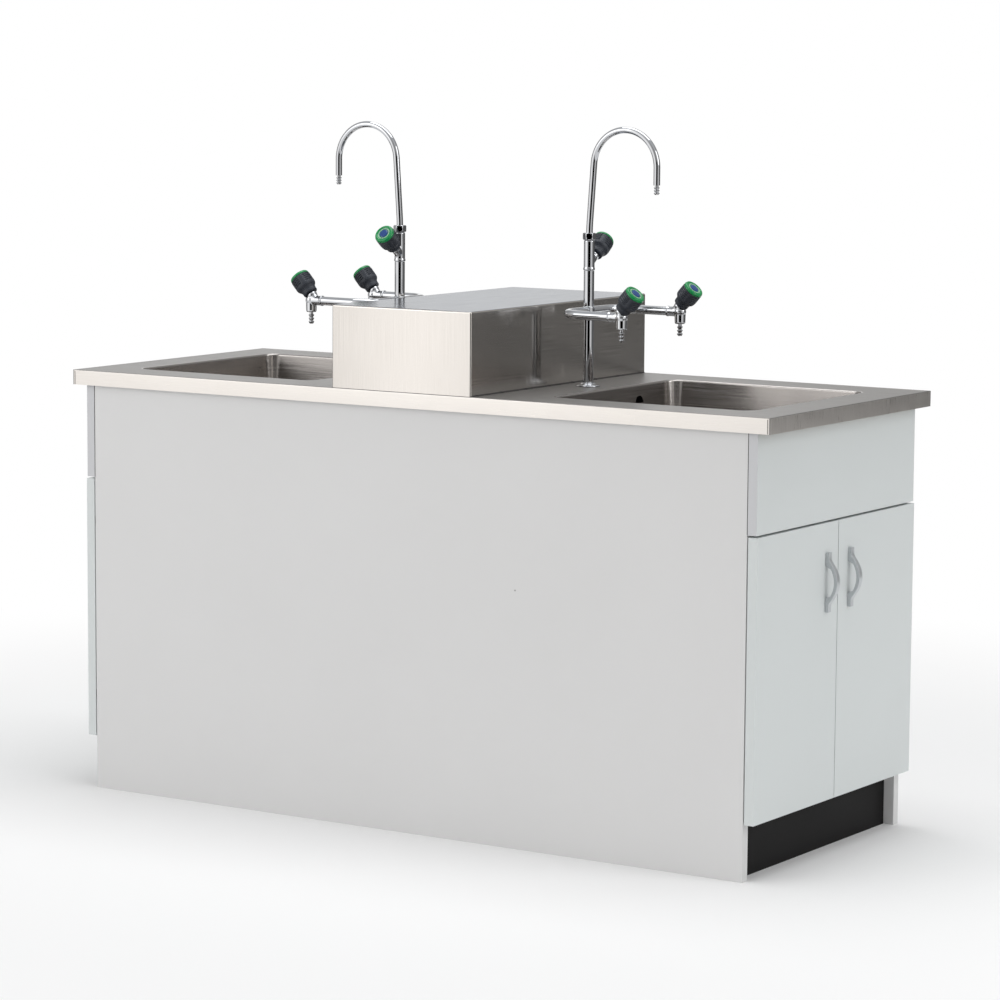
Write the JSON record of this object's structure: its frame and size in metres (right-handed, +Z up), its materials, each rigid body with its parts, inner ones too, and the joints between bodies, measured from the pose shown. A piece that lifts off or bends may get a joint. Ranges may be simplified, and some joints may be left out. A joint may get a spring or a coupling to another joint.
{
  "type": "laboratory sink unit",
  "caption": "Island laboratory sink unit: stainless worktop with bowls, a raised service box, swan-neck laboratory taps with hose outlets, and cupboards with doors at both ends.",
  "frame": {"origin": "on the floor under the middle of the worktop", "axes": "+X along the bench to the right-hand cupboard end, -Y out of the long panel seen in the picture, +Z up"},
  "size_m": [1.5, 0.6, 1.2707],
  "materials": {
    "panel_board": "melamine-faced, matt light grey",
    "door_board": "melamine-faced, satin cool light grey",
    "core_board": "raw moisture-proof board",
    "plinth_board": "black laminate, scuffed",
    "worktop_steel": "brushed stainless sheet",
    "bowl_steel": "satin pressed stainless",
    "handle_aluminium": "satin",
    "tap_chrome": "polished chrome on brass",
    "plated_steel": "nickel plated",
    "knob_plastic": "moulded charcoal plastic",
    "trap_plastic": "moulded white polypropylene"
  },
  "bodies": {
    "cabinet": {"front_panel": "panel_board", "rear_panel": "panel_board", "cabinet_floor": "panel_board", "centre_partition": "panel_board", "worktop": "worktop_steel", "worktop_core": "core_board", "service_box": "worktop_steel", "right_plinth": "plinth_board", "right_top_rail": "panel_board", "right_fascia": "door_board", "right_front_lower_hinge": "plated_steel", "right_front_upper_hinge": "plated_steel", "right_rear_lower_hinge": "plated_steel", "right_rear_upper_hinge": "plated_steel", "right_bowl": "bowl_steel", "right_waste": "plated_steel", "right_trap": "trap_plastic", "right_tap_base_flange": "tap_chrome", "right_tap_column": "tap_chrome", "right_tap_manifold": "tap_chrome", "right_tap_swan_valve": "tap_chrome", "right_tap_swivel_nut": "tap_chrome", "right_tap_front_valve": "tap_chrome", "right_tap_rear_valve": "tap_chrome", "right_tap_lock_nut": "plated_steel", "left_plinth": "plinth_board", "left_top_rail": "panel_board", "left_fascia": "door_board", "left_front_lower_hinge": "plated_steel", "left_front_upper_hinge": "plated_steel", "left_rear_lower_hinge": "plated_steel", "left_rear_upper_hinge": "plated_steel", "left_bowl": "bowl_steel", "left_waste": "plated_steel", "left_trap": "trap_plastic", "left_tap_base_flange": "tap_chrome", "left_tap_column": "tap_chrome", "left_tap_manifold": "tap_chrome", "left_tap_swan_valve": "tap_chrome", "left_tap_swivel_nut": "tap_chrome", "left_tap_front_valve": "tap_chrome", "left_tap_rear_valve": "tap_chrome", "left_tap_lock_nut": "plated_steel"},
    "right_front_door": {"right_front_door": "door_board", "right_front_door_handle": "handle_aluminium"},
    "right_rear_door": {"right_rear_door": "door_board", "right_rear_door_handle": "handle_aluminium"},
    "right_tap_swan_neck": {"right_tap_swan_neck": "tap_chrome"},
    "right_tap_front_knob": {"right_tap_front_knob": "knob_plastic"},
    "right_tap_rear_knob": {"right_tap_rear_knob": "knob_plastic"},
    "right_tap_swan_knob": {"right_tap_swan_knob": "knob_plastic"},
    "left_front_door": {"left_front_door": "door_board", "left_front_door_handle": "handle_aluminium"},
    "left_rear_door": {"left_rear_door": "door_board", "left_rear_door_handle": "handle_aluminium"},
    "left_tap_swan_neck": {"left_tap_swan_neck": "tap_chrome"},
    "left_tap_front_knob": {"left_tap_front_knob": "knob_plastic"},
    "left_tap_rear_knob": {"left_tap_rear_knob": "knob_plastic"},
    "left_tap_swan_knob": {"left_tap_swan_knob": "knob_plastic"}
  },
  "joints": [
    {"name": "right_front_door_hinge", "type": "hinge", "parent": "cabinet", "child": "right_front_door", "pos_m": [0.7195, -0.286, 0.3475], "axis": [0, 0, -1], "range_deg": [0, 100]},
    {"name": "right_rear_door_hinge", "type": "hinge", "parent": "cabinet", "child": "right_rear_door", "pos_m": [0.7195, 0.286, 0.3475], "axis": [0, 0, 1], "range_deg": [0, 100]},
    {"name": "right_tap_swan_swivel", "type": "hinge", "parent": "cabinet", "child": "right_tap_swan_neck", "pos_m": [0.208, 0, 1.07], "axis": [0, 0, 1], "continuous": true},
    {"name": "right_tap_front_knob_turn", "type": "hinge", "parent": "cabinet", "child": "right_tap_front_knob", "pos_m": [0.32788, -0.10091, 0.937], "axis": [0.6811, -0.0357, 0.7314], "range_deg": [0, 90]},
    {"name": "right_tap_rear_knob_turn", "type": "hinge", "parent": "cabinet", "child": "right_tap_rear_knob", "pos_m": [0.33777, 0.08783, 0.937], "axis": [0.6811, -0.0357, 0.7314], "range_deg": [0, 90]},
    {"name": "right_tap_swan_knob_turn", "type": "hinge", "parent": "cabinet", "child": "right_tap_swan_knob", "pos_m": [0.208, 0, 1.024], "axis": [0, 0.788, 0.6157], "range_deg": [0, 90]},
    {"name": "left_front_door_hinge", "type": "hinge", "parent": "cabinet", "child": "left_front_door", "pos_m": [-0.7195, -0.286, 0.3475], "axis": [0, 0, 1], "range_deg": [0, 100]},
    {"name": "left_rear_door_hinge", "type": "hinge", "parent": "cabinet", "child": "left_rear_door", "pos_m": [-0.7195, 0.286, 0.3475], "axis": [0, 0, -1], "range_deg": [0, 100]},
    {"name": "left_tap_swan_swivel", "type": "hinge", "parent": "cabinet", "child": "left_tap_swan_neck", "pos_m": [-0.208, 0, 1.07], "axis": [0, 0, 1], "continuous": true},
    {"name": "left_tap_front_knob_turn", "type": "hinge", "parent": "cabinet", "child": "left_tap_front_knob", "pos_m": [-0.33777, -0.08783, 0.937], "axis": [-0.6811, 0.0357, 0.7314], "range_deg": [0, 90]},
    {"name": "left_tap_rear_knob_turn", "type": "hinge", "parent": "cabinet", "child": "left_tap_rear_knob", "pos_m": [-0.32788, 0.10091, 0.937], "axis": [-0.6811, 0.0357, 0.7314], "range_deg": [0, 90]},
    {"name": "left_tap_swan_knob_turn", "type": "hinge", "parent": "cabinet", "child": "left_tap_swan_knob", "pos_m": [-0.208, 0, 1.024], "axis": [0, -0.788, 0.6157], "range_deg": [0, 90]}
  ]
}
